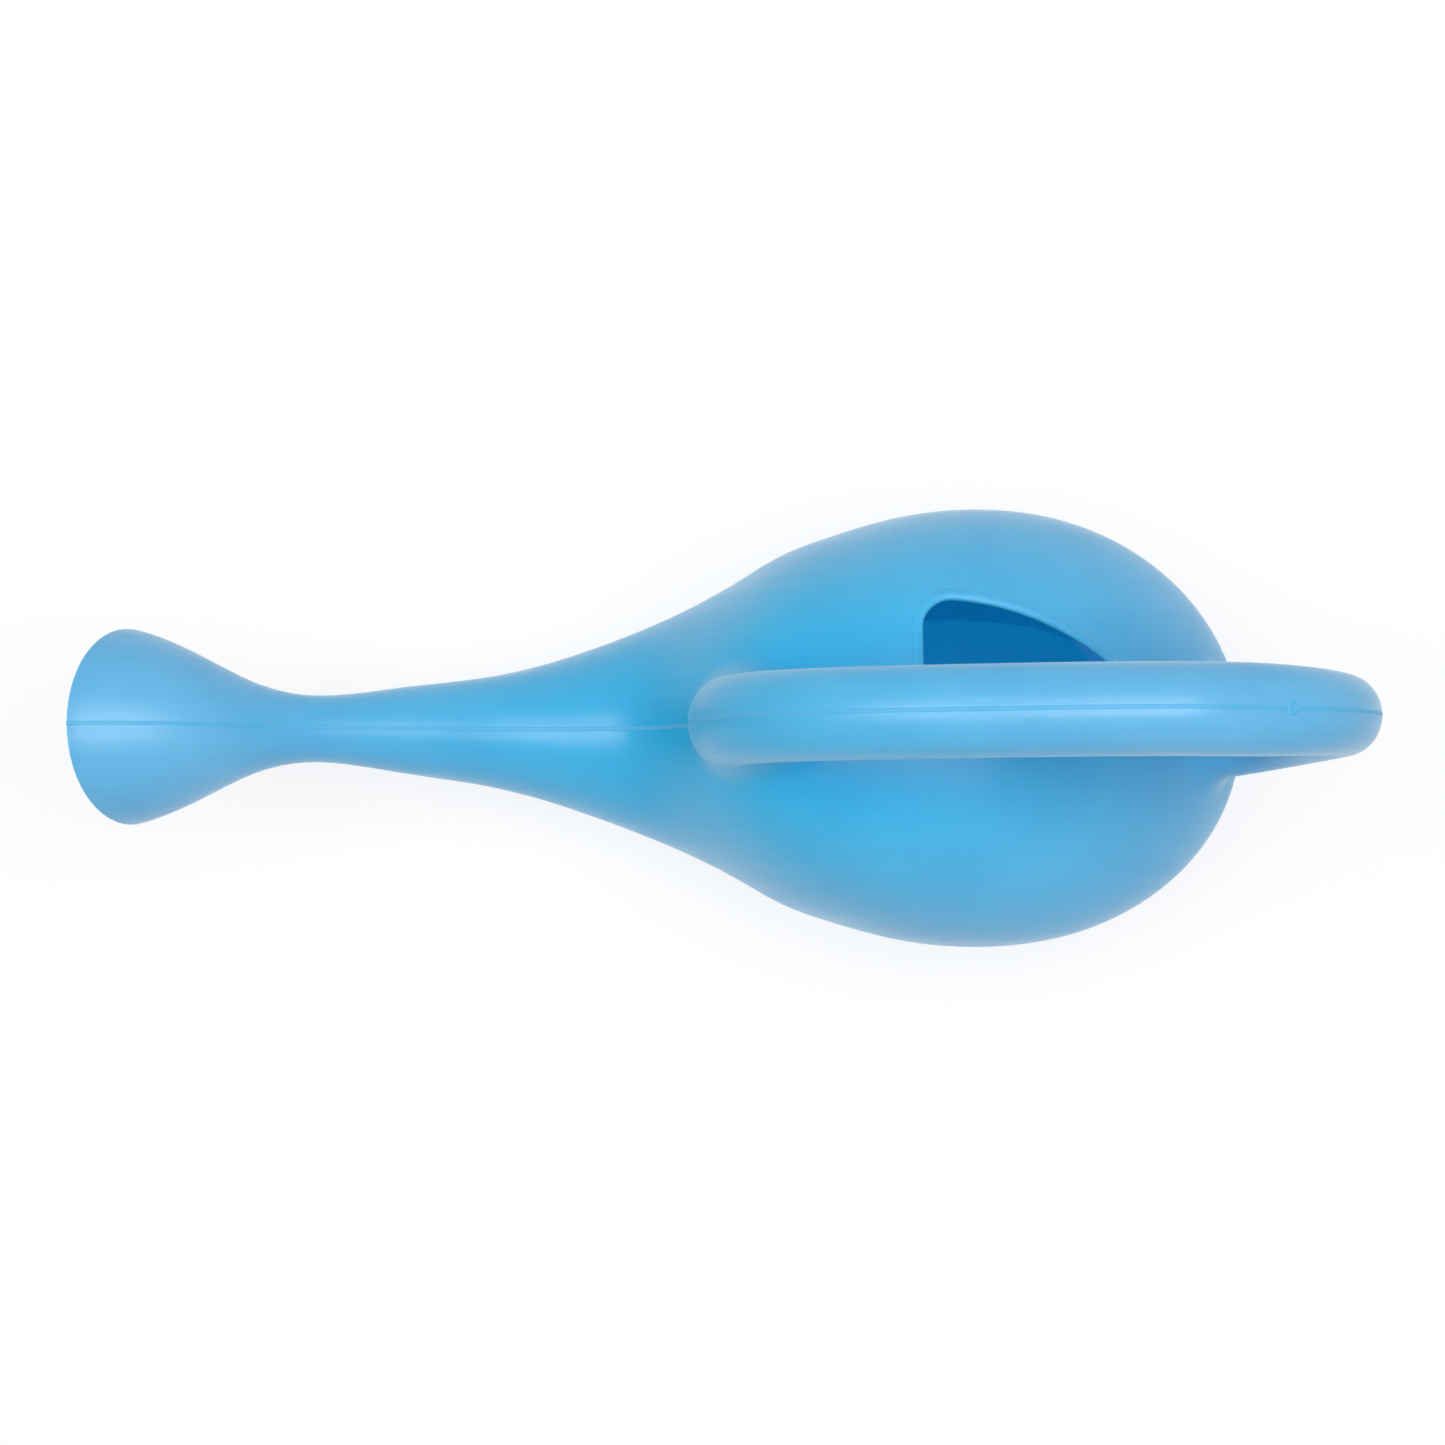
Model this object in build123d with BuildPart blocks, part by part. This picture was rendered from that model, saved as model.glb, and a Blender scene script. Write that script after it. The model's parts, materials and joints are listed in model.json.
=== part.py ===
from build123d import *
import os
from math import cos, hypot, radians, sin

# Driving dimensions of the watering can, in millimetres and degrees.
# X runs along the can with the spout at -X, the fill opening is on the +Y side, and the floor is z = 0.
wall = 1.8

# Tank: an egg lying on its side, whose keel is cut off flat by the floor.
tank_width = 138.6
tank_front_length = 108.0
tank_rear_length = 85.5
crown_height = 118.0
belly_height = 66.0
keel_depth = 14.0
rear_tip_height = 35.0
rear_crown_fall = 0.36
base_edge_radius = 8.0
push_up_height = 2.5
push_up_width = 48.0
push_up_length = 104.0
push_up_advance = 14.0

# Spout: a horn that leaves the saddle in front of the tank, with a trumpet head at its end.
spout_length = 157.0
spout_slope = 22.0
saddle_radius = 30.3
saddle_height = 44.0
neck_radius = 11.1
mouth_radius = 30.3
mouth_height = 101.0
mouth_tilt = -32.0
mouth_ring = 3.6

# Handle: a hollow loop from the shoulder to the rear end of the tank.
handle_width = 27.7
handle_depth = 23.0
rear_handle_width = 24.4
handle_rise = 64.0
handle_overhang = 21.0
front_root_radius = 14.0
rear_root_radius = 12.0

# Fill opening: a three-cornered cut beside the handle.
fill_advance = 20.5
fill_length = 73.0
fill_width = 33.5
fill_margin = 4.0
fill_bulge = 9.5
fill_corner_radius = 9.0
fill_edge_radius = 1.0

# Rose: a dished sprinkler plate with a stiff rim, pushed into the mouth.
seat_depth = 4.0
fit_clearance = 0.25
plate_rim = 2.4
plate_thickness = 1.6
plate_crown = 2.5
hole_diameter = 1.6
hole_pitch = 6.5
hole_rings = 3
holes_in_first_ring = 6
sieve_margin = 2.0

# The can's length is centred on the origin.
length_ahead = tank_front_length + spout_length - mouth_radius * sin(radians(mouth_tilt))
length_behind = tank_rear_length + handle_overhang + handle_depth / 2
widest_x = (length_ahead - length_behind) / 2
saddle_x = widest_x - tank_front_length
mouth_x = saddle_x - spout_length
rear_x = widest_x + tank_rear_length
half_width = tank_width / 2


def cross_plane(x, z, tilt):
    """Plane across the can, square to an axis that rises towards the front by the tilt."""
    return Plane(
        origin=(x, 0, z),
        x_dir=(0, 1, 0),
        z_dir=(cos(radians(tilt)), 0, -sin(radians(tilt))),
    )


def oval(plane, half, rise, drop):
    """Closed section of four quarter ellipses that meet on its widest line and on the parting plane."""
    with BuildSketch(plane) as section:
        with BuildLine():
            EllipticalCenterArc((0, 0), half, rise, 0, arc_size=90)
            EllipticalCenterArc((0, 0), half, rise, 90, arc_size=90)
            EllipticalCenterArc((0, 0), half, drop, 180, arc_size=90)
            EllipticalCenterArc((0, 0), half, drop, 270, arc_size=90)
        make_face()
    return section.sketch


# Spout sections from the mouth to the saddle, all of them round: station along the spout, rise from the
# saddle's height to the mouth's, radius, tilt, thickness in walls.
spout_stations = [
    (1.00, 1.00, mouth_radius, mouth_tilt, mouth_ring / wall),
    (0.96, 1.01, 0.94 * mouth_radius, 0.8 * mouth_tilt, 1),
    (0.90, 0.965, 0.82 * mouth_radius, 0.44 * mouth_tilt, 1),
    (0.83, 0.88, 0.64 * mouth_radius, 0, 1),
    (0.757, 0.78, 1.24 * neck_radius, 0.64 * spout_slope, 1),
    (0.695, 0.71, neck_radius, spout_slope, 1),
    (0.484, 0.456, 1.21 * neck_radius, 1.1 * spout_slope, 1),
    (0.287, 0.184, 0.6 * saddle_radius, 0.8 * spout_slope, 1),
    (0.11, 0.026, 0.87 * saddle_radius, 0.27 * spout_slope, 1),
]

# Tank sections from the saddle back to the widest one: station ahead of the widest section, half width,
# level of the widest line, crown, keel. The steep shoulder lies between the first three.
tank_stations = [
    (0.941, 0.512, 0.68, 0.68, 0.50),
    (0.823, 0.596, 0.73, 0.82, -0.07),
    (0.706, 0.694, 0.79, 0.95, -0.50),
    (0.588, 0.799, 0.85, 1.01, -0.79),
    (0.450, 0.880, 0.90, 1.03, -0.93),
    (0.234, 0.970, 0.96, 1.035, -1.00),
]

# Angles round the rear of the tank, whose outline is half an ellipse.
rear_angles = [0, 18, 36, 52, 66, 78, 87]


def spout_sections(inset):
    """Round sections of the spout; the wall thickens to the mouth ring at the mouth itself."""
    sections = []
    for along, rise, radius, tilt, walls in spout_stations:
        plane = cross_plane(
            saddle_x - along * spout_length,
            saddle_height + rise * (mouth_height - saddle_height),
            tilt,
        )
        inner = radius - inset * walls
        sections.append(oval(plane, inner, inner, inner))
    return sections


def shoulder_slant(number):
    """Wall measured upright over wall measured square to the crown, which slopes at the shoulder."""
    ahead = tank_stations[max(number - 1, 0)]
    behind = tank_stations[min(number + 1, len(tank_stations) - 1)]
    run = (ahead[0] - behind[0]) * tank_front_length
    climb = (behind[3] - ahead[3]) * crown_height
    return hypot(run, climb) / run


def tank_sections(inset):
    """Egg sections of the tank, from the saddle over the widest one to the rear tip."""
    sections = []
    for number, (ahead, half, level, crown, keel) in enumerate(tank_stations):
        centre = level * belly_height
        plane = cross_plane(widest_x - ahead * tank_front_length, centre, 0)
        rise = crown * crown_height - inset * shoulder_slant(number) - centre
        drop = centre - keel * keel_depth - inset
        sections.append(oval(plane, half * half_width - inset, rise, drop))
    for angle in rear_angles:
        shrink = cos(radians(angle))
        lean = sin(radians(angle))
        centre = rear_tip_height + (belly_height - rear_tip_height) * shrink**2
        plane = cross_plane(widest_x + (tank_rear_length - inset) * lean, centre, 0)
        crown = (crown_height - inset - rear_tip_height) * shrink * (1 - rear_crown_fall * lean)
        keel = (keel_depth - inset + rear_tip_height) * shrink
        rise = rear_tip_height + crown - centre
        drop = centre - rear_tip_height + keel
        sections.append(oval(plane, (half_width - inset) * shrink, rise, drop))
    return sections


# Centre line of the handle in the parting plane, from the shoulder to the rear: place along the can, height
# above the crown as a share of the handle's rise. Both ends lie inside the tank.
handle_points = [
    (widest_x - 0.720 * tank_front_length, -0.69),
    (widest_x - 0.745 * tank_front_length, -0.16),
    (widest_x - 0.655 * tank_front_length, 0.38),
    (widest_x - 0.430 * tank_front_length, 0.67),
    (widest_x, 0.91),
    (widest_x + 0.510 * tank_rear_length, 1.00),
    (widest_x + 0.932 * tank_rear_length, 0.84),
    (rear_x + 0.840 * handle_overhang, 0.41),
    (rear_x + 0.967 * handle_overhang, -0.06),
    (rear_x + 0.464 * handle_overhang, -0.48),
    (widest_x + 0.680 * tank_rear_length, -0.98),
]
front_root_direction = (-0.1, 1)
rear_root_direction = (-0.85, -0.5)

with BuildLine(Plane.XZ) as handle_line:
    Spline(
        *[(x, crown_height + share * handle_rise) for x, share in handle_points],
        tangents=[front_root_direction, rear_root_direction],
    )

# Handle sections: station along the centre line, width, depth. Both roots flare.
handle_stations = [
    (0.0, 1.05 * handle_width, 1.08 * handle_depth),
    (0.08, handle_width, handle_depth),
    (0.16, handle_width, handle_depth),
    (0.23, handle_width, handle_depth),
    (0.32, handle_width, handle_depth),
    (0.44, handle_width, handle_depth),
    (0.56, handle_width, handle_depth),
    (0.64, 0.96 * handle_width, handle_depth),
    (0.72, rear_handle_width, handle_depth),
    (0.80, rear_handle_width, 0.96 * handle_depth),
    (0.88, 1.12 * rear_handle_width, 0.96 * handle_depth),
    (0.95, 1.36 * rear_handle_width, 1.05 * handle_depth),
    (1.0, 1.5 * rear_handle_width, 1.15 * handle_depth),
]


def handle_sections(inset):
    """Oval sections square to the handle's centre line."""
    line = handle_line.wire()
    sections = []
    for along, width, depth in handle_stations:
        plane = Plane(origin=line @ along, x_dir=(0, 1, 0), z_dir=line % along)
        half_depth = depth / 2 - inset
        sections.append(oval(plane, width / 2 - inset, half_depth, half_depth))
    return sections


# Middle of the push-up, between the ends of the flat foot.
push_up_x = widest_x - push_up_advance

# Corners of the fill opening in plan, and the top of its cutter, between the crown and the handle.
fill_front_x = widest_x - fill_advance
fill_outer_y = fill_margin + fill_width
fill_top = crown_height + handle_rise / 6

# Outside of the blow moulding, with the fill opening as a pocket that ends inside the tank.
with BuildPart() as outside:
    loft(spout_sections(0) + tank_sections(0))
    split(bisect_by=Plane.XY, keep=Keep.TOP)
    fillet(outside.faces().sort_by(Axis.Z)[0].edges(), base_edge_radius)
    loft(handle_sections(0))
    roots = outside.edges(Select.NEW)
    fillet(roots.filter_by_position(Axis.X, saddle_x, widest_x), front_root_radius)
    fillet(roots.filter_by_position(Axis.X, widest_x, rear_x), rear_root_radius)
    with BuildSketch(Plane.XY) as push_up:
        with Locations((push_up_x, 0)):
            Ellipse(push_up_length / 2, push_up_width / 2)
    extrude(amount=push_up_height, mode=Mode.SUBTRACT)
    with BuildSketch(Plane.XY.offset(belly_height)) as fill_opening:
        with BuildLine():
            front = Line((fill_front_x, fill_margin), (fill_front_x, fill_outer_y))
            inner = Line((fill_front_x, fill_margin), (fill_front_x + fill_length, fill_margin))
            SagittaArc(front @ 1, inner @ 1, fill_bulge)
        make_face()
        fillet(fill_opening.vertices(), fill_corner_radius)
    extrude(amount=fill_top - belly_height, mode=Mode.SUBTRACT)
    pocket_edges = outside.edges(Select.NEW).filter_by(GeomType.LINE, reverse=True)
    rim = pocket_edges.filter_by_position(Axis.Z, belly_height, fill_top, inclusive=(False, False))
    fillet(rim, fill_edge_radius)

# Space inside it, one wall smaller all round, open from the tank into both ends of the handle.
with BuildPart() as water_space:
    loft(spout_sections(wall) + tank_sections(wall))
    split(bisect_by=Plane.XY.offset(wall), keep=Keep.TOP)
    with BuildSketch(Plane.XY.offset(wall)) as push_up_inside:
        with Locations((push_up_x, 0)):
            Ellipse(push_up_length / 2 + wall, push_up_width / 2 + wall)
    extrude(amount=push_up_height, mode=Mode.SUBTRACT)
    loft(handle_sections(wall))

# Plane of the mouth, looking out of it.
mouth_plane = Plane(
    origin=(mouth_x, 0, mouth_height),
    x_dir=(0, 1, 0),
    z_dir=(-cos(radians(mouth_tilt)), 0, sin(radians(mouth_tilt))),
)
seat_radius = mouth_radius - wall

with BuildPart() as can_shell:
    add(outside.part)
    add(water_space.part, mode=Mode.SUBTRACT)
    with BuildSketch(mouth_plane) as seat:
        Circle(seat_radius)
    extrude(amount=-seat_depth, mode=Mode.SUBTRACT)

plate_radius = seat_radius - fit_clearance
web_radius = plate_radius - plate_rim
sieve_radius = hole_pitch * hole_rings + sieve_margin
plate_plane = Plane(origin=mouth_plane.origin, x_dir=mouth_plane.x_dir, z_dir=-mouth_plane.y_dir)

with BuildPart() as rose_plate:
    with BuildSketch(plate_plane) as plate_profile:
        with BuildLine():
            Polyline(
                (0, plate_crown),
                (sieve_radius, plate_crown),
                (web_radius, 0),
                (plate_radius, 0),
                (plate_radius, -seat_depth),
                (web_radius, -seat_depth),
                (web_radius, -plate_thickness),
                (sieve_radius, plate_crown - plate_thickness),
                (0, plate_crown - plate_thickness),
                close=True,
            )
        make_face()
    revolve(axis=Axis(mouth_plane.origin, mouth_plane.z_dir))
    with BuildSketch(mouth_plane) as spray_holes:
        Circle(hole_diameter / 2)
        for ring in range(1, hole_rings + 1):
            with PolarLocations(ring * hole_pitch, ring * holes_in_first_ring):
                Circle(hole_diameter / 2)
    extrude(amount=plate_crown, mode=Mode.SUBTRACT)

can_shell.part.label = "can_shell"
rose_plate.part.label = "rose_plate"

os.makedirs("parts", exist_ok=True)
export_step(can_shell.part, "parts/can_shell.step")
export_step(rose_plate.part, "parts/rose_plate.step")
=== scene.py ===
# %% [markdown]
# # A blow-moulded watering can
# The can is one hollow polyethylene moulding with a sprinkler plate pushed into its mouth. The imported model
# brings both pieces at their real size, in metres, and nothing here moves or reshapes them. Its box is
# kept.

# %% Load the imported model
import json
from math import cos, pi, radians, sin

import bmesh
import bpy
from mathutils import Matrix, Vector


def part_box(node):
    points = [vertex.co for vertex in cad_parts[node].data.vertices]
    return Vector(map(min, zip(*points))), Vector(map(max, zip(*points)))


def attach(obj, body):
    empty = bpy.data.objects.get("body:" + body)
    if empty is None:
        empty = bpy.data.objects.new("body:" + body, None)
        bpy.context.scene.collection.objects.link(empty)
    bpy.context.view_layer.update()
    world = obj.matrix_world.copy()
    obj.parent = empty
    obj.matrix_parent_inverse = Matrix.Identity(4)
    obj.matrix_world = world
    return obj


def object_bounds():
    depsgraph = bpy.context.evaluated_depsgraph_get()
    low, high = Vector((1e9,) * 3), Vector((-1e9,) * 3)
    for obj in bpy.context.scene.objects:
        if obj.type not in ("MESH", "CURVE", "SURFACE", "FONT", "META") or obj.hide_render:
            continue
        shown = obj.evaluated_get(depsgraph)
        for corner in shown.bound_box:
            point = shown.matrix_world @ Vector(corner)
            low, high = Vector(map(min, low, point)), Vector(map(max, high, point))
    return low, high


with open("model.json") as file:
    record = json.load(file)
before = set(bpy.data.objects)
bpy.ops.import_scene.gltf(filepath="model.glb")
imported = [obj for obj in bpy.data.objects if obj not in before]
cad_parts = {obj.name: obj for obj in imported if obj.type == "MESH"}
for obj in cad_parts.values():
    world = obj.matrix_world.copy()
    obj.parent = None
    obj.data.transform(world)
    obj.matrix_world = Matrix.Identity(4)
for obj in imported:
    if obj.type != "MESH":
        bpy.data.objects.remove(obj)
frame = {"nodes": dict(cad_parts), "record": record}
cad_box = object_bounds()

MM = 0.001
shell = frame["nodes"]["can_shell"]
plate = frame["nodes"]["rose_plate"]
print("CAD box in mm:", [[round(value / MM, 1) for value in corner] for corner in cad_box])

# %% [markdown]
# ## Helpers for colours and nodes
# Colours are written as the sRGB hex values that a paint program shows, and Blender's shaders work in
# linear light, so one function turns one into the other. A second small function adds any node: its plain
# settings come as keywords, and its sockets as a dictionary of values or of the outputs that feed them.

# %% Colour and node helpers


def linear(hex_colour):
    """Linear RGBA of an sRGB hex value."""
    channels = [int(hex_colour[place:place + 2], 16) / 255 for place in (1, 3, 5)]
    return [c / 12.92 if c <= 0.04045 else ((c + 0.055) / 1.055) ** 2.4 for c in channels] + [1.0]


def add_node(tree, kind, inputs=None, **settings):
    """Adds a node, sets its own properties, and sets or links its input sockets."""
    made = tree.nodes.new(kind)
    for name, value in settings.items():
        setattr(made, name, value)
    for name, value in (inputs or {}).items():
        if isinstance(value, bpy.types.NodeSocket):
            tree.links.new(value, made.inputs[name])
        else:
            made.inputs[name].default_value = value
    return made


def new_material(name):
    """An empty node material and its output node."""
    material = bpy.data.materials.new(name)
    material.use_nodes = True
    material.node_tree.nodes.clear()
    output = add_node(material.node_tree, "ShaderNodeOutputMaterial")
    return material, material.node_tree, output


# %% [markdown]
# ## LDPE, blow moulded
# Low-density polyethylene is a soft, waxy plastic that lets some light through. To the eye it is a milky
# sky blue with a whitish bloom where one looks along the wall, broad soft highlights, and an inside that
# glows deep blue. The glow is light that has come through the wall. A clear shader with coloured depth could
# carry it, but that renders slowly and with much noise. So lamps shine through each of the wall's two faces
# in a deep blue tint: a pigment that stops red, and lets through some green and more blue.

# %% Light through the wall
LIGHT_THROUGH_FACE = "#00C2DA"


def let_lamps_through(tree, surface, output):
    """Shows the surface as it is, and lets lamps shine through it in the tint of the pigment."""
    rays = add_node(tree, "ShaderNodeLightPath")
    tint = add_node(tree, "ShaderNodeBsdfTransparent", {"Color": linear(LIGHT_THROUGH_FACE)})
    wall = add_node(
        tree,
        "ShaderNodeMixShader",
        {0: rays.outputs["Is Shadow Ray"], 1: surface.outputs["BSDF"], 2: tint.outputs["BSDF"]},
    )
    tree.links.new(wall.outputs["Shader"], output.inputs["Surface"])


passed = [round(share, 2) for share in linear(LIGHT_THROUGH_FACE)[:3]]
print("Shares of red, green and blue light that pass one face:", passed)

# %% [markdown]
# ### The inside of the tank
# The inside never touched the mould, so it is matt. Its blue, greener than the wall's and without red, is a
# painted glow for the light that comes in through the wall. Its faces could have a material of their own, but
# the imported model doesn't say which faces are inside. So the material asks two things of a place: whether
# it is near the tank's middle, and whether the wall faces that middle.

# %% Where a place lies
TANK_MIDDLE = (81.5 * MM, 0.0, 55 * MM)
TANK_REACH = (75 * MM, 75 * MM, 68 * MM)


def share_of_reach(tree, from_middle, reach):
    """How far out a place lies, as a share of what is reached along each axis."""
    shares = add_node(
        tree,
        "ShaderNodeVectorMath",
        {0: from_middle.outputs["Vector"], 1: reach},
        operation="DIVIDE",
    )
    return add_node(tree, "ShaderNodeVectorMath", {0: shares.outputs["Vector"]}, operation="LENGTH")


def tank_inside(tree, coordinates):
    """1 on the tank's inside wall, where the wall faces the tank's middle, and 0 elsewhere."""
    from_middle = add_node(
        tree,
        "ShaderNodeVectorMath",
        {0: coordinates.outputs["Object"], 1: TANK_MIDDLE},
        operation="SUBTRACT",
    )
    outward = add_node(
        tree,
        "ShaderNodeVectorMath",
        {0: from_middle.outputs["Vector"], 1: coordinates.outputs["Normal"]},
        operation="DOT_PRODUCT",
    )
    inward = add_node(tree, "ShaderNodeMath", {0: outward.outputs["Value"], 1: 0.0}, operation="LESS_THAN")
    reach = share_of_reach(tree, from_middle, TANK_REACH)
    within = add_node(tree, "ShaderNodeMath", {0: reach.outputs["Value"], 1: 1.0}, operation="LESS_THAN")
    both = add_node(
        tree,
        "ShaderNodeMath",
        {0: inward.outputs["Value"], 1: within.outputs["Value"]},
        operation="MULTIPLY",
    )
    return both.outputs["Value"]


print("Reach of the tank's inside in mm:", [round(value / MM) for value in TANK_REACH])

# %% [markdown]
# ### The blue of the wall
# The wall is thickest under the handle, where the tube of melt was pinched and stretched least, and it
# thins the farther it was blown from there. Its blue is deepest there and pales outwards, and that also
# paints light: the deep blue is painted shade under the handle and in the saddle, and the pale blue is
# painted sheen on the flanks and on top of the handle. One flat blue would do from afar. A blue that depends
# on the distance from one place follows how the wall was stretched and where that shade and sheen lie, and
# needs no picture. Slow patches and the lines of the tube change it a little more.

# %% Blue by the wall's thickness, with painted shade and sheen
# The thick blue also paints shade under the handle, and the thin blue paints sheen on the flanks and the
# handle.
WAX_BLUE_THICK_AND_SHADED = "#0AA8D6"
WAX_BLUE_THIN_AND_SHEEN = "#5EACD7"
THICK_AND_SHADED_MIDDLE = (20 * MM, 0.0, 95 * MM)
THIN_AND_SHEEN_REACH = (140 * MM, 62 * MM, 90 * MM)
# Shares of that reach at which the blue starts to pale, and at which it is palest.
THICK_SHADED_TO_THIN_SHEEN = (0.3, 1.3)
# A wall that was blown thin here and there shows patches about as wide as three fingers.
MOTTLE_SIZE = 38 * MM
DIE_LINE_SHARE = 0.35
UNEVEN_WALL_TINT = "#E4F3F8"
UNEVEN_RANGE = (0.45, 0.90)


def wall_blue_with_painted_light(tree, place, die_lines):
    """Blue of the wall: deep where it is thick, as painted shade; pale where it was blown far out, as painted
    sheen; and uneven.
    """
    from_thick_shaded_middle = add_node(tree, "ShaderNodeVectorMath", {0: place, 1: THICK_AND_SHADED_MIDDLE}, operation="SUBTRACT")
    blown_out_and_sheen = add_node(
        tree,
        "ShaderNodeMapRange",
        {
            "Value": share_of_reach(tree, from_thick_shaded_middle, THIN_AND_SHEEN_REACH).outputs["Value"],
            "From Min": THICK_SHADED_TO_THIN_SHEEN[0],
            "From Max": THICK_SHADED_TO_THIN_SHEEN[1],
        },
    )
    shaded_to_sheen_blue = add_node(
        tree,
        "ShaderNodeMix",
        {"Factor": blown_out_and_sheen.outputs["Result"], "A": linear(WAX_BLUE_THICK_AND_SHADED), "B": linear(WAX_BLUE_THIN_AND_SHEEN)},
        data_type="RGBA",
    )
    mottle = add_node(
        tree,
        "ShaderNodeTexNoise",
        {"Vector": place, "Scale": 1 / MOTTLE_SIZE, "Detail": 3.0, "Roughness": 0.5},
    )
    unevenness = add_node(
        tree,
        "ShaderNodeMath",
        {0: die_lines.outputs["Fac"], 1: DIE_LINE_SHARE, 2: mottle.outputs["Fac"]},
        operation="MULTIPLY_ADD",
    )
    tint = add_node(
        tree,
        "ShaderNodeMapRange",
        {"Value": unevenness.outputs["Value"], "From Min": UNEVEN_RANGE[0], "From Max": UNEVEN_RANGE[1]},
    )
    uneven_blue = add_node(
        tree,
        "ShaderNodeMix",
        {
            "Factor": tint.outputs["Result"],
            "A": shaded_to_sheen_blue.outputs["Result"],
            "B": linear(UNEVEN_WALL_TINT),
        },
        data_type="RGBA",
        blend_type="MULTIPLY",
    )
    return uneven_blue.outputs["Result"]


print("Blue of the wall, thick and thin:", WAX_BLUE_THICK_AND_SHADED, WAX_BLUE_THIN_AND_SHEEN)

# %% [markdown]
# ### The skin of the wall
# The tube of melt that is blown into the mould carries faint die lines along its length, and the blasted
# mould leaves a fine satin grain. Both are under a tenth of a millimetre deep. Cut into the mesh they would
# take millions of faces, so they are bump.

# %% Die lines and grain
BUMP_HEIGHT = 0.1 * MM
DIE_LINE_BUMP = 0.14
# Blasting grit leaves pits of about 0.2 mm, which are drawn coarser so that they show.
GRAIN_SIZE = 0.7 * MM
GRAIN_BUMP = 0.15


def skin_relief(tree, place, die_lines):
    """Normal of the wall with its die lines and its grain."""
    lines_bump = add_node(
        tree,
        "ShaderNodeBump",
        {"Height": die_lines.outputs["Fac"], "Strength": DIE_LINE_BUMP, "Distance": BUMP_HEIGHT},
    )
    grain = add_node(
        tree,
        "ShaderNodeTexNoise",
        {"Vector": place, "Scale": 1 / GRAIN_SIZE, "Detail": 2.0, "Roughness": 0.6},
    )
    grain_bump = add_node(
        tree,
        "ShaderNodeBump",
        {
            "Height": grain.outputs["Fac"],
            "Strength": GRAIN_BUMP,
            "Distance": BUMP_HEIGHT,
            "Normal": lines_bump.outputs["Normal"],
        },
    )
    return grain_bump.outputs["Normal"]


print("Grain in mm:", GRAIN_SIZE / MM, "and depth in mm:", BUMP_HEIGHT / MM)

# %% [markdown]
# ### The whole material
# The colour, the finish and the skin come together in one shader. The bloom is a little sheen, which stands
# for the haze of the satin grain. Coating would make it too, but with sharp highlights. Some subsurface
# scattering softens the edges.

# %% Blow-moulded LDPE
LDPE_IOR = 1.51
# Die lines are finer than this on the real tube; they are drawn as wide as it takes to see them.
DIE_LINE_WIDTH = 1.3 * MM
DIE_LINE_LENGTH = 120 * MM
# Most of a noise pattern's values lie between these two.
NOISE_RANGE = (0.3, 0.7)
SATIN_ROUGHNESS = (0.32, 0.42)
# Painted glow: the inside's blue stands for the light that comes in through the wall.
INSIDE_PAINTED_GLOW_BLUE = "#0CB2D2"
INSIDE_ROUGHNESS = 0.75
BLOOM_WEIGHT = 0.16
BLOOM_ROUGHNESS = 0.42
# Light wanders about as far as the wall is thick, and blue light farthest.
GLOW_WEIGHT = 0.3
GLOW_DEPTH = 1.5 * MM
GLOW_SHARES = (0.1, 0.6, 1.0)


def blow_moulded_ldpe():
    """Sky-blue LDPE with die lines, a satin grain, slow changes of wall thickness with painted shade and
    sheen, and a painted glow inside.
    """
    material, tree, output = new_material("LDPE_blow_moulded_sky_blue")
    coordinates = add_node(tree, "ShaderNodeTexCoord")
    place = coordinates.outputs["Object"]
    inside = tank_inside(tree, coordinates)
    stretch = add_node(
        tree,
        "ShaderNodeMapping",
        {"Vector": place, "Scale": (1 / DIE_LINE_LENGTH, 1 / DIE_LINE_WIDTH, 1 / DIE_LINE_LENGTH)},
    )
    die_lines = add_node(
        tree,
        "ShaderNodeTexNoise",
        {"Vector": stretch.outputs["Vector"], "Scale": 1.0, "Detail": 2.0, "Roughness": 0.6},
    )
    gloss = add_node(
        tree,
        "ShaderNodeMapRange",
        {
            "Value": die_lines.outputs["Fac"],
            "From Min": NOISE_RANGE[0],
            "From Max": NOISE_RANGE[1],
            "To Min": SATIN_ROUGHNESS[0],
            "To Max": SATIN_ROUGHNESS[1],
        },
    )
    two_colours = add_node(
        tree,
        "ShaderNodeMix",
        {"Factor": inside, "A": wall_blue_with_painted_light(tree, place, die_lines), "B": linear(INSIDE_PAINTED_GLOW_BLUE)},
        data_type="RGBA",
    )
    two_finishes = add_node(
        tree,
        "ShaderNodeMix",
        {"Factor": inside, "A": gloss.outputs["Result"], "B": INSIDE_ROUGHNESS},
        data_type="FLOAT",
    )
    surface = add_node(
        tree,
        "ShaderNodeBsdfPrincipled",
        {
            "Base Color": two_colours.outputs["Result"],
            "Roughness": two_finishes.outputs["Result"],
            "IOR": LDPE_IOR,
            "Normal": skin_relief(tree, place, die_lines),
            "Subsurface Weight": GLOW_WEIGHT,
            "Subsurface Radius": GLOW_SHARES,
            "Subsurface Scale": GLOW_DEPTH,
            "Sheen Weight": BLOOM_WEIGHT,
            "Sheen Roughness": BLOOM_ROUGHNESS,
        },
    )
    let_lamps_through(tree, surface, output)
    return material


can_plastic = blow_moulded_ldpe()
shell.data.materials.clear()
shell.data.materials.append(can_plastic)
print("Material on the can:", can_plastic.name)

# %% [markdown]
# ## LDPE, injection moulded
# The sprinkler plate is pressed from the same resin in a polished injection mould, so it is a little
# glossier. The melt entered in the middle and ran outwards, which leaves faint rings. The rings need the
# distance from the plate's axis: the cross product of a place with a line's direction is as long as the
# place's distance from the line, so two vector nodes give it, wherever the plate points.

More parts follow.
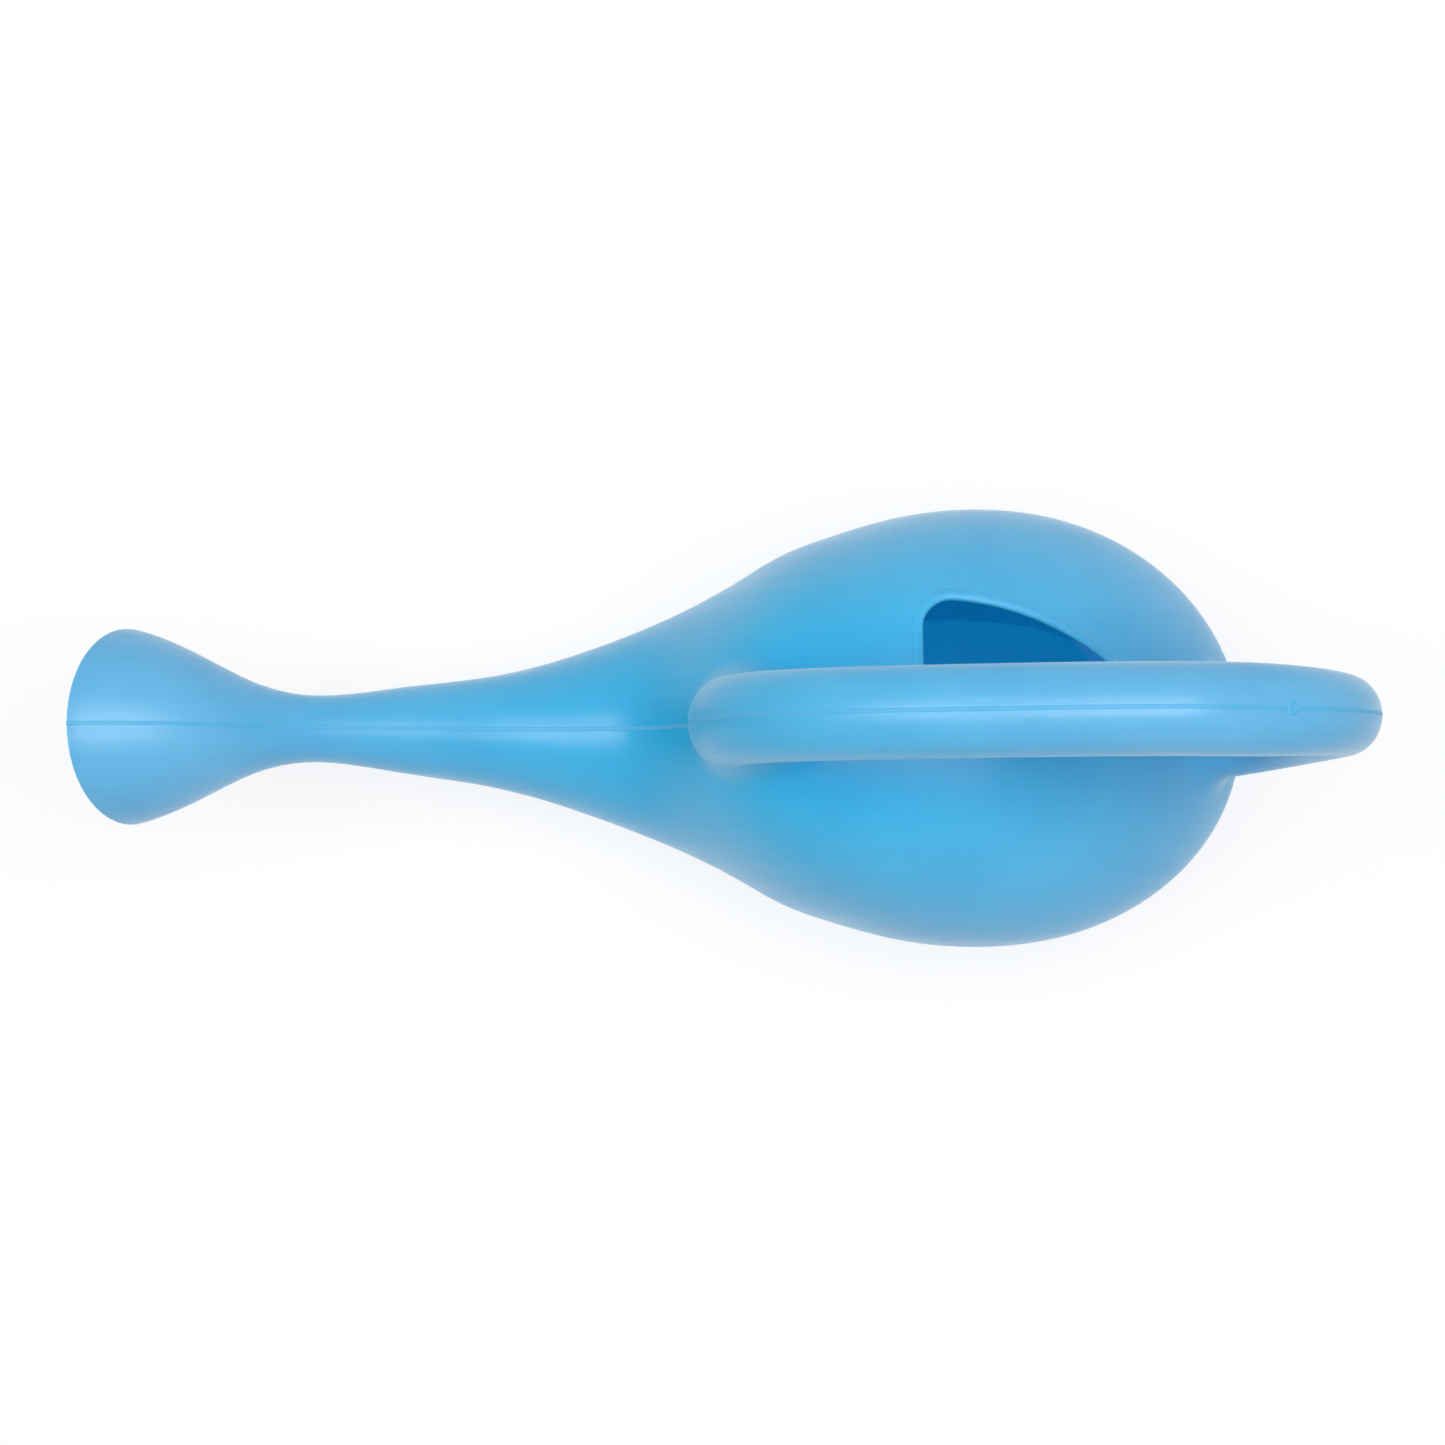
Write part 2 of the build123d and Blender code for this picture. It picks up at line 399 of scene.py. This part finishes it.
# %% Axis of the sprinkler plate
joint = next(entry for entry in frame["record"]["behaviour"]["joints"] if entry["name"] == "rose_pull")
plate_axis = Vector(joint["axis"]).normalized()
plate_low, plate_high = (Vector(corner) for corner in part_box("rose_plate"))
plate_middle = (plate_low + plate_high) / 2
print("Plate axis:", [round(value, 3) for value in plate_axis])
print("Plate middle in mm:", [round(value / MM, 1) for value in plate_middle])

# %% Injection-moulded LDPE
PLATE_BLUE = "#37A2D8"
PLATE_BLUE_PALE = "#45ABDC"
PLATE_ROUGHNESS = (0.29, 0.38)
PLATE_BLOOM_WEIGHT = 0.15
PLATE_BLOOM_ROUGHNESS = 0.3
# Flow rings are finer than this; they are drawn as wide as it takes to see them.
RING_SPACING = 2.6 * MM
RING_BUMP = 0.2


def injection_moulded_ldpe():
    """Sky-blue LDPE with faint flow rings round the plate's axis."""
    material, tree, output = new_material("LDPE_injection_moulded_sky_blue")
    place = add_node(tree, "ShaderNodeTexCoord").outputs["Object"]
    from_middle = add_node(tree, "ShaderNodeVectorMath", {0: place, 1: plate_middle}, operation="SUBTRACT")
    across = add_node(
        tree,
        "ShaderNodeVectorMath",
        {0: from_middle.outputs["Vector"], 1: plate_axis},
        operation="CROSS_PRODUCT",
    )
    distance = add_node(tree, "ShaderNodeVectorMath", {0: across.outputs["Vector"]}, operation="LENGTH")
    turns = add_node(
        tree,
        "ShaderNodeMath",
        {0: distance.outputs["Value"], 1: 1 / RING_SPACING},
        operation="MULTIPLY",
    )
    rings = add_node(
        tree,
        "ShaderNodeTexNoise",
        {"W": turns.outputs["Value"], "Scale": 1.0, "Detail": 2.0, "Roughness": 0.6},
        noise_dimensions="1D",
    )
    colour = add_node(
        tree,
        "ShaderNodeMix",
        {"Factor": rings.outputs["Fac"], "A": linear(PLATE_BLUE), "B": linear(PLATE_BLUE_PALE)},
        data_type="RGBA",
    )
    gloss = add_node(
        tree,
        "ShaderNodeMapRange",
        {
            "Value": rings.outputs["Fac"],
            "From Min": NOISE_RANGE[0],
            "From Max": NOISE_RANGE[1],
            "To Min": PLATE_ROUGHNESS[0],
            "To Max": PLATE_ROUGHNESS[1],
        },
    )
    bump = add_node(
        tree,
        "ShaderNodeBump",
        {"Height": rings.outputs["Fac"], "Strength": RING_BUMP, "Distance": BUMP_HEIGHT},
    )
    surface = add_node(
        tree,
        "ShaderNodeBsdfPrincipled",
        {
            "Base Color": colour.outputs["Result"],
            "Roughness": gloss.outputs["Result"],
            "IOR": LDPE_IOR,
            "Normal": bump.outputs["Normal"],
            "Subsurface Weight": GLOW_WEIGHT,
            "Subsurface Radius": GLOW_SHARES,
            "Subsurface Scale": GLOW_DEPTH,
            "Sheen Weight": PLATE_BLOOM_WEIGHT,
            "Sheen Roughness": PLATE_BLOOM_ROUGHNESS,
        },
    )
    let_lamps_through(tree, surface, output)
    return material


plate_plastic = injection_moulded_ldpe()
plate.data.materials.clear()
plate.data.materials.append(plate_plastic)
print("Material on the sprinkler plate:", plate_plastic.name)

# %% [markdown]
# ## LDPE, squeezed out of the mould's gap
# Melt that was pressed into the gap between the mould halves never met the mould's wall. To the eye it is
# the same blue, a bit duller and less even, and it is too thin to scatter light inside, so it gets no
# subsurface. It could share the can's material, but then its line would vanish in the highlights, where the
# photo shows it.

# %% Squeezed LDPE
# The flash's blue is a little darker than the wall's: painted shade, which keeps its fine line dark in the
# highlights.
FLASH_SHADED_BLUE = "#3F9ECC"
FLASH_SHADED_BLUE_PALE = "#51A9D4"
FLASH_ROUGHNESS = (0.45, 0.6)
# Trimming tears the flash in patches of a few millimetres.
FLASH_PATCH = 4.0 * MM


def squeezed_ldpe():
    """Dull LDPE with short uneven patches, a little darker than the wall as painted shade."""
    material, tree, output = new_material("LDPE_squeezed_flash")
    place = add_node(tree, "ShaderNodeTexCoord").outputs["Object"]
    patches = add_node(
        tree,
        "ShaderNodeTexNoise",
        {"Vector": place, "Scale": 1 / FLASH_PATCH, "Detail": 3.0, "Roughness": 0.6},
    )
    colour = add_node(
        tree,
        "ShaderNodeMix",
        {"Factor": patches.outputs["Fac"], "A": linear(FLASH_SHADED_BLUE), "B": linear(FLASH_SHADED_BLUE_PALE)},
        data_type="RGBA",
    )
    gloss = add_node(
        tree,
        "ShaderNodeMapRange",
        {
            "Value": patches.outputs["Fac"],
            "From Min": NOISE_RANGE[0],
            "From Max": NOISE_RANGE[1],
            "To Min": FLASH_ROUGHNESS[0],
            "To Max": FLASH_ROUGHNESS[1],
        },
    )
    surface = add_node(
        tree,
        "ShaderNodeBsdfPrincipled",
        {"Base Color": colour.outputs["Result"], "Roughness": gloss.outputs["Result"], "IOR": LDPE_IOR},
    )
    let_lamps_through(tree, surface, output)
    return material


flash_plastic = squeezed_ldpe()
print("Material of the flash:", flash_plastic.name)

# %% [markdown]
# ## The parting line
# Two mould halves close on the can's middle plane, y = 0, and a little melt is squeezed between them. What
# is left after trimming is a fine raised line over the whole outside. Its route isn't drawn by hand: the
# outside of the can is found by spreading from its highest point over every edge that isn't sharp, so that
# the cut rims stop it, and the middle plane is then cut through that skin. A route counts if one can look
# sideways from its middle and see nothing, because from inside the tank, the spout or the handle one always
# sees a wall.

# %% Outside skin of the can
SHARP_EDGE = radians(38)
WELD_DISTANCE = 0.002 * MM


def outside_skin(node):
    """Mesh of the node's outside, without its inside walls."""
    skin = bmesh.new()
    skin.from_mesh(node.data)
    bmesh.ops.remove_doubles(skin, verts=skin.verts, dist=WELD_DISTANCE)
    skin.normal_update()
    highest = max(skin.verts, key=lambda vertex: vertex.co.z)
    reached = set(highest.link_faces)
    waiting = list(reached)
    while waiting:
        face = waiting.pop()
        for edge in face.edges:
            if edge.calc_face_angle(pi) > SHARP_EDGE:
                continue
            for neighbour in edge.link_faces:
                if neighbour not in reached:
                    reached.add(neighbour)
                    waiting.append(neighbour)
    inside = [face for face in skin.faces if face not in reached]
    bmesh.ops.delete(skin, geom=inside, context="FACES")
    return skin


skin = outside_skin(shell)
print("Outside skin:", len(skin.faces), "of", len(shell.data.polygons), "faces")

# %% Routes of the parting line
FOOT_CLEARANCE = 3.0 * MM
CUT_DISTANCE = 0.005 * MM
ON_PLANE = 0.01 * MM
SIDE_LOOK = 0.5 * MM


def middle_routes(skin):
    """Lines of (point, normal) in which the plane y = 0 cuts the skin, above the foot."""
    everything = skin.verts[:] + skin.edges[:] + skin.faces[:]
    bmesh.ops.bisect_plane(
        skin, geom=everything, dist=CUT_DISTANCE, plane_co=(0, 0, 0), plane_no=(0, 1, 0)
    )
    skin.normal_update()

    def on_route(vertex):
        return abs(vertex.co.y) < ON_PLANE and vertex.co.z > FOOT_CLEARANCE

    beside = {}
    for edge in skin.edges:
        if all(on_route(vertex) for vertex in edge.verts):
            for vertex in edge.verts:
                beside.setdefault(vertex, []).append(edge.other_vert(vertex))
    ends = [vertex for vertex in beside if len(beside[vertex]) == 1]
    left = set(beside)
    routes = []
    for start in ends + list(beside):
        if start not in left:
            continue
        line = [start]
        left.discard(start)
        while True:
            onward = [vertex for vertex in beside[line[-1]] if vertex in left]
            if not onward:
                break
            line.append(onward[0])
            left.discard(onward[0])
        if start in beside[line[-1]] and len(line) > 2:
            line.append(start)
        routes.append([(vertex.co.copy(), vertex.normal.copy()) for vertex in line])
    return routes


def open_sideways(route):
    """True if nothing stands beside the middle of the route, so that it lies on the outside."""
    point, normal = route[len(route) // 2]
    return not shell.ray_cast(point + normal * SIDE_LOOK, (0, -1, 0))[0]


routes = [route for route in middle_routes(skin) if open_sideways(route)]
skin.free()
for route in routes:
    length = sum((b[0] - a[0]).length for a, b in zip(route, route[1:]))
    start = [round(value / MM) for value in route[0][0]]
    print("Route of", len(route), "points,", round(length / MM), "mm long, from", start)

# %% [markdown]
# ### Even steps
# The mesh gives the route with uneven steps, and a ridge on them would be uneven too. So each route is
# walked again with even steps, and each normal is averaged with the ones beside it.

# %% Even steps along a route
STEP = 1.5 * MM
SMOOTH_OVER = 2


def even_steps(route):
    """The route as (point, normal) pairs one step apart, with smoothed normals in the middle plane."""
    walked = [0.0]
    for a, b in zip(route, route[1:]):
        walked.append(walked[-1] + (b[0] - a[0]).length)
    count = max(round(walked[-1] / STEP), 1)
    even = []
    place = 0
    for number in range(count + 1):
        target = walked[-1] * number / count
        while place < len(route) - 2 and walked[place + 1] < target:
            place += 1
        span = walked[place + 1] - walked[place]
        share = (target - walked[place]) / span if span else 0
        point = route[place][0].lerp(route[place + 1][0], share)
        normal = route[place][1].lerp(route[place + 1][1], share)
        even.append((Vector((point.x, 0, point.z)), Vector((normal.x, 0, normal.z))))
    smooth = []
    for number, (point, normal) in enumerate(even):
        nearby = even[max(number - SMOOTH_OVER, 0):number + SMOOTH_OVER + 1]
        smooth.append((point, sum((other[1] for other in nearby), Vector()).normalized()))
    return smooth


walks = [even_steps(route) for route in routes]
print("Steps along the routes:", [len(walk) for walk in walks])

# %% [markdown]
# ### From cross-sections to a piece
# Each raised detail is a row of cross-sections: a bar, a loop or a stack of rings. They could be bevelled
# curves, but plain faces let a section follow the wall. One function bridges the sections with faces, and
# one makes the shape a piece that rides on the can. Edges that turn sharply are shaded as sharp, or the
# underside would darken a piece where it meets the wall.

# %% Faces and pieces


def bridge(shape, rings, loop=False):
    """Faces from each ring of vertices to the next, back to the first ring or with a cap at each end."""
    pairs = list(zip(rings, rings[1:]))
    if loop:
        pairs.append((rings[-1], rings[0]))
    for ring, following in pairs:
        for corner in range(len(ring)):
            beyond = (corner + 1) % len(ring)
            shape.faces.new((ring[corner], ring[beyond], following[beyond], following[corner]))
    if not loop:
        shape.faces.new(rings[0])
        shape.faces.new(rings[-1])


def add_piece(name, shape, body, material):
    """Makes a bmesh an object that rides on the body, with a material."""
    bmesh.ops.recalc_face_normals(shape, faces=shape.faces)
    mesh = bpy.data.meshes.new(name)
    shape.to_mesh(mesh)
    shape.free()
    mesh.shade_smooth()
    mesh.set_sharp_from_angle(angle=SHARP_EDGE)
    mesh.materials.append(material)
    piece = bpy.data.objects.new(name, mesh)
    bpy.context.scene.collection.objects.link(piece)
    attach(piece, body)
    print("Piece", name, "with", len(mesh.polygons), "faces")


# %% [markdown]
# ### The ridge
# The ridge is a low closed bar with a flattened crown, and its underside is sunk into the wall. It could be
# bump in the can's material, but a real ridge also shows at the outline. It swells at the rim of the
# trumpet, where the flash was torn off by hand and left a small burr.

# %% Ridge along the parting line
# Each profile is a list of (across, up) in millimetres, measured from the wall.
RIDGE_PROFILE = [(-0.7, -0.08), (-0.42, 0.12), (0.42, 0.12), (0.7, -0.08)]
SHORTEST_ROUTE = 20 * MM
BURR_LENGTH = 4.0 * MM
BURR_SWELL = 3.0


def ridge(stations):
    """Closed bar along stations of (point, normal, swell)."""
    shape = bmesh.new()
    rings = []
    for point, normal, swell in stations:
        ring = []
        for across, up in RIDGE_PROFILE:
            rise = up * swell if up > 0 else up
            ring.append(shape.verts.new(point + Vector((0, across * MM, 0)) + normal * (rise * MM)))
        rings.append(ring)
    bridge(shape, rings)
    return shape


mouth_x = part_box("can_shell")[0][0]
part_lines = []
for number, walk in enumerate(walks):
    stations = []
    for point, normal in walk:
        burr = max(0.0, 1 - (point.x - mouth_x) / BURR_LENGTH)
        stations.append((point, normal, 1 + BURR_SWELL * burr))
    if len(stations) * STEP < SHORTEST_ROUTE:
        continue
    part_lines.append(stations)
    add_piece(f"parting_line_{number + 1}", ridge(stations), "can", flash_plastic)

# %% [markdown]
# ## The bead round the fill opening
# The opening is moulded shut, as a low dome with a bead round it, and the dome is then cut out. What stays
# is the bead, which stands a little proud of the wall and slopes down to the cut. The edge of the cut is
# felt out from just above the tank, under the handle: along each of many directions from the opening's
# middle, the place where a look straight down stops falling through to the base and meets the wall. A round
# tube could be bent along that edge, but these sections lie on the wall and follow its slope.

# %% Edge of the fill opening
EDGE_POINTS = 120
EDGE_ACCURACY = 0.02 * MM
FARTHEST_EDGE = 60 * MM
LOOK_FROM = 121 * MM
BASE_LEVEL = 60 * MM

mouth = next(entry for entry in frame["record"]["physics"]["openings"] if entry["name"] == "fill_mouth")
mouth_middle = (Vector(mouth["box_m"][0]) + Vector(mouth["box_m"][1])) / 2


def wall_below(place):
    """Point and normal of the tank's wall straight below a place, or None over the opening."""
    hit, spot, normal, face = shell.ray_cast((place.x, place.y, LOOK_FROM), (0, 0, -1))
    return (spot, normal) if hit and spot.z > BASE_LEVEL else None


def edge_of_opening():
    """Points on the edge of the opening, seen from above."""
    edge = []
    for number in range(EDGE_POINTS):
        angle = 2 * pi * number / EDGE_POINTS
        onward = Vector((cos(angle), sin(angle), 0))
        near, far = 0.0, FARTHEST_EDGE
        while far - near > EDGE_ACCURACY:
            middle = (near + far) / 2
            if wall_below(mouth_middle + onward * middle):
                far = middle
            else:
                near = middle
        edge.append(mouth_middle + onward * far)
    return edge


edge = edge_of_opening()
for axis, name in enumerate("xy"):
    values = [point[axis] / MM for point in edge]
    print("Opening along", name, "in mm:", round(min(values), 1), "to", round(max(values), 1))

# %% Bead
BEAD_INNER_SLOPE = [(0.4, -0.3), (0.9, 0.0), (1.6, 0.16), (2.3, 0.34)]
BEAD_OUTER_SLOPE = [(2.8, 0.38), (3.2, 0.26), (3.6, 0.0), (3.7, -0.3)]

bead = bmesh.new()
rings = []
for number, place in enumerate(edge):
    along = edge[(number + 1) % EDGE_POINTS] - edge[number - 1]
    away = Vector((along.y, -along.x, 0)).normalized()
    ring = []
    for out, up in BEAD_INNER_SLOPE + BEAD_OUTER_SLOPE:
        spot, normal = wall_below(place + away * (out * MM))
        ring.append(bead.verts.new(spot + normal * (up * MM)))
    rings.append(ring)
bridge(bead, rings, loop=True)
add_piece("fill_opening_bead", bead, "can", can_plastic)

# %% [markdown]
# ## The blow-needle scar
# Air was blown in through a needle near the rear of the handle. The hole closed when the needle was drawn
# out and left a small round scar on the parting line, a ring with a dimple in it. A torus would be too
# round for it, so it is a lathe shape, turned about the wall's normal at that place of the route.

# %% Blow-needle scar
SCAR_X = 168.5 * MM
SCAR_SEARCH = 2 * STEP
SCAR_PROFILE = [(0.55, -0.02), (0.95, 0.24), (1.35, 0.32), (1.75, 0.20), (2.1, -0.15)]
SCAR_SIDES = 32

nearby = [
    (point, normal)
    for stations in part_lines
    for point, normal, swell in stations
    if abs(point.x - SCAR_X) < SCAR_SEARCH
]
scar_point, scar_normal = max(nearby, key=lambda place: place[0].z)
side = Vector((0, 1, 0))
ahead = side.cross(scar_normal)
scar = bmesh.new()
rings = []
for radius, up in SCAR_PROFILE:
    ring = []
    for number in range(SCAR_SIDES):
        angle = 2 * pi * number / SCAR_SIDES
        outward = side * cos(angle) + ahead * sin(angle)
        ring.append(scar.verts.new(scar_point + outward * (radius * MM) + scar_normal * (up * MM)))
    rings.append(ring)
bridge(scar, rings)
add_piece("blow_needle_scar", scar, "can", flash_plastic)
print("Scar at, in mm:", [round(value / MM, 1) for value in scar_point])

# %% [markdown]
# ## The pinch-off under the base
# Under the base the mould halves pinched the tube of melt shut, and the weld stands proud of the push-up's
# ceiling, thicker than the parting line. A plain box would do on a flat base. The same bar as on the parting
# line follows the ceiling, which is found by looking up from below.

# %% Pinch-off weld
PINCH_STEP = 2.0 * MM
PINCH_SWELL = 5.0
PUSH_UP_HEIGHTS = (1.0 * MM, 5.0 * MM)
LEVEL_CEILING = -0.9
LOOK_UP_FROM = -10 * MM

weld = []
place_x = cad_box[0][0]
while place_x < cad_box[1][0]:
    hit, spot, normal, face = shell.ray_cast((place_x, 0, LOOK_UP_FROM), (0, 0, 1))
    if hit and PUSH_UP_HEIGHTS[0] < spot.z < PUSH_UP_HEIGHTS[1] and normal.z < LEVEL_CEILING:
        weld.append(spot)
    place_x += PINCH_STEP
stations = []
for number, spot in enumerate(weld):
    end = min(number, len(weld) - 1 - number)
    stations.append((spot, Vector((0, 0, -1)), min(1 + end, PINCH_SWELL)))
add_piece("pinch_off_weld", ridge(stations), "can", flash_plastic)
print("Pinch-off from", round(weld[0].x / MM), "to", round(weld[-1].x / MM), "mm")

# %% [markdown]
# ## Camera
# The photo looks straight down from about a metre and a half with a long lens, tilted a little so that the
# far side of the can shows less. The place and the tilt come from matching the can's outline.

# %% Camera
PHOTO_SIDE = 1445
FOCAL_PIXELS = 4531
CAMERA_PLACE = (-0.8 * MM, -67 * MM, 1500 * MM)
# Both angles are in degrees, and the sensor's width is in millimetres.
CAMERA_TILT = 2.76
CAMERA_ROLL = -0.27
SENSOR = 36.0

camera = bpy.data.objects.new("photo_camera", bpy.data.cameras.new("photo_camera"))
bpy.context.scene.collection.objects.link(camera)
camera.data.sensor_fit = "HORIZONTAL"
camera.data.sensor_width = SENSOR
camera.data.lens = SENSOR * FOCAL_PIXELS / PHOTO_SIDE
camera.location = CAMERA_PLACE
camera.rotation_euler = (radians(CAMERA_TILT), 0, radians(CAMERA_ROLL))
bpy.context.scene.camera = camera
print("Lens in mm:", round(camera.data.lens, 1))

# %% [markdown]
# ## Light
# A long soft light hangs overhead and draws the broad highlight along the handle. Bright walls and a dim
# ceiling keep the flanks of the tank from going dark. A ring of lamps would do that too, but each would
# leave a reflection of its own. Whatever the camera or a reflection sees of the surroundings is plain
# white.

# %% Light
WHITE = "#FFFFFF"
WALL_LEVEL = 0.7
CEILING_LEVEL = 0.1
# Sines of the angles above the horizon between which the walls turn into the ceiling.
WALL_TOP = (0.15, 0.5)
# The softbox's size and place are in metres, and its power is in watts.
SOFTBOX_SIZE = (2.7, 1.15)
SOFTBOX_PLACE = (0.08, 0.04, 1.9)
SOFTBOX_POWER = 47.5

world = bpy.data.worlds.new("white_studio")
bpy.context.scene.world = world
world.use_nodes = True
tree = world.node_tree
tree.nodes.clear()
way = add_node(tree, "ShaderNodeTexCoord").outputs["Generated"]
height = add_node(tree, "ShaderNodeSeparateXYZ", {"Vector": way}).outputs["Z"]
level = add_node(
    tree,
    "ShaderNodeMapRange",
    {
        "Value": height,
        "From Min": WALL_TOP[0],
        "From Max": WALL_TOP[1],
        "To Min": WALL_LEVEL,
        "To Max": CEILING_LEVEL,
    },
    interpolation_type="SMOOTHSTEP",
)
rays = add_node(tree, "ShaderNodeLightPath").outputs
seen = rays["Is Camera Ray"]
for kind in ("Is Glossy Ray", "Is Transmission Ray"):
    seen = add_node(tree, "ShaderNodeMath", {0: seen, 1: rays[kind]}, operation="MAXIMUM").outputs["Value"]
shown = add_node(
    tree,
    "ShaderNodeMix",
    {"Factor": seen, "A": level.outputs["Result"], "B": 1.0},
    data_type="FLOAT",
)
backdrop = add_node(
    tree,
    "ShaderNodeBackground",
    {"Color": linear(WHITE), "Strength": shown.outputs["Result"]},
)
add_node(tree, "ShaderNodeOutputWorld", {"Surface": backdrop.outputs["Background"]})

softbox = bpy.data.objects.new("softbox", bpy.data.lights.new("softbox", "AREA"))
bpy.context.scene.collection.objects.link(softbox)
softbox.data.shape = "RECTANGLE"
softbox.data.size, softbox.data.size_y = SOFTBOX_SIZE
softbox.data.energy = SOFTBOX_POWER
softbox.location = SOFTBOX_PLACE
softbox.visible_camera = False
print("Softbox across, in m:", SOFTBOX_SIZE, "power in W:", SOFTBOX_POWER)

# %% [markdown]
# ## Floor
# The can stands on white paper that runs out of sight. A shadow catcher would show the shadow alone, but
# paper also lights the can from below. The camera sees the paper mostly as plain white, with a trace of the
# shadow.

# %% Floor
# Metres.
FLOOR_SIZE = 16.0
FLOOR_WHITE = "#F4F4F4"
FLOOR_GLOW = 0.8
# Two faces in one plane would flicker through each other, so the floor lies a hair below the foot.
FLOOR_DROP = 0.2 * MM

floor_mesh = bpy.data.meshes.new("floor")
half = FLOOR_SIZE / 2
corners = [(-half, -half, 0), (half, -half, 0), (half, half, 0), (-half, half, 0)]
floor_mesh.from_pydata(corners, [], [(0, 1, 2, 3)])
floor = bpy.data.objects.new("floor", floor_mesh)
bpy.context.scene.collection.objects.link(floor)
paper, tree, output = new_material("matt_white_paper")
matt = add_node(tree, "ShaderNodeBsdfDiffuse", {"Color": linear(FLOOR_WHITE)})
glow = add_node(tree, "ShaderNodeEmission", {"Color": linear(WHITE), "Strength": 1.0})
rays = add_node(tree, "ShaderNodeLightPath")
share = add_node(
    tree,
    "ShaderNodeMath",
    {0: rays.outputs["Is Camera Ray"], 1: FLOOR_GLOW},
    operation="MULTIPLY",
)
mixed = add_node(
    tree,
    "ShaderNodeMixShader",
    {0: share.outputs["Value"], 1: matt.outputs["BSDF"], 2: glow.outputs["Emission"]},
)
tree.links.new(mixed.outputs["Shader"], output.inputs["Surface"])
floor_mesh.materials.append(paper)
floor.location.z = -FLOOR_DROP
print("Floor of", FLOOR_SIZE, "m in", paper.name)

# %% [markdown]
# ## Colour view
# The colours are shown as they are written, so the view is set to Standard.

# %% Colour view
bpy.context.scene.view_settings.view_transform = "Standard"
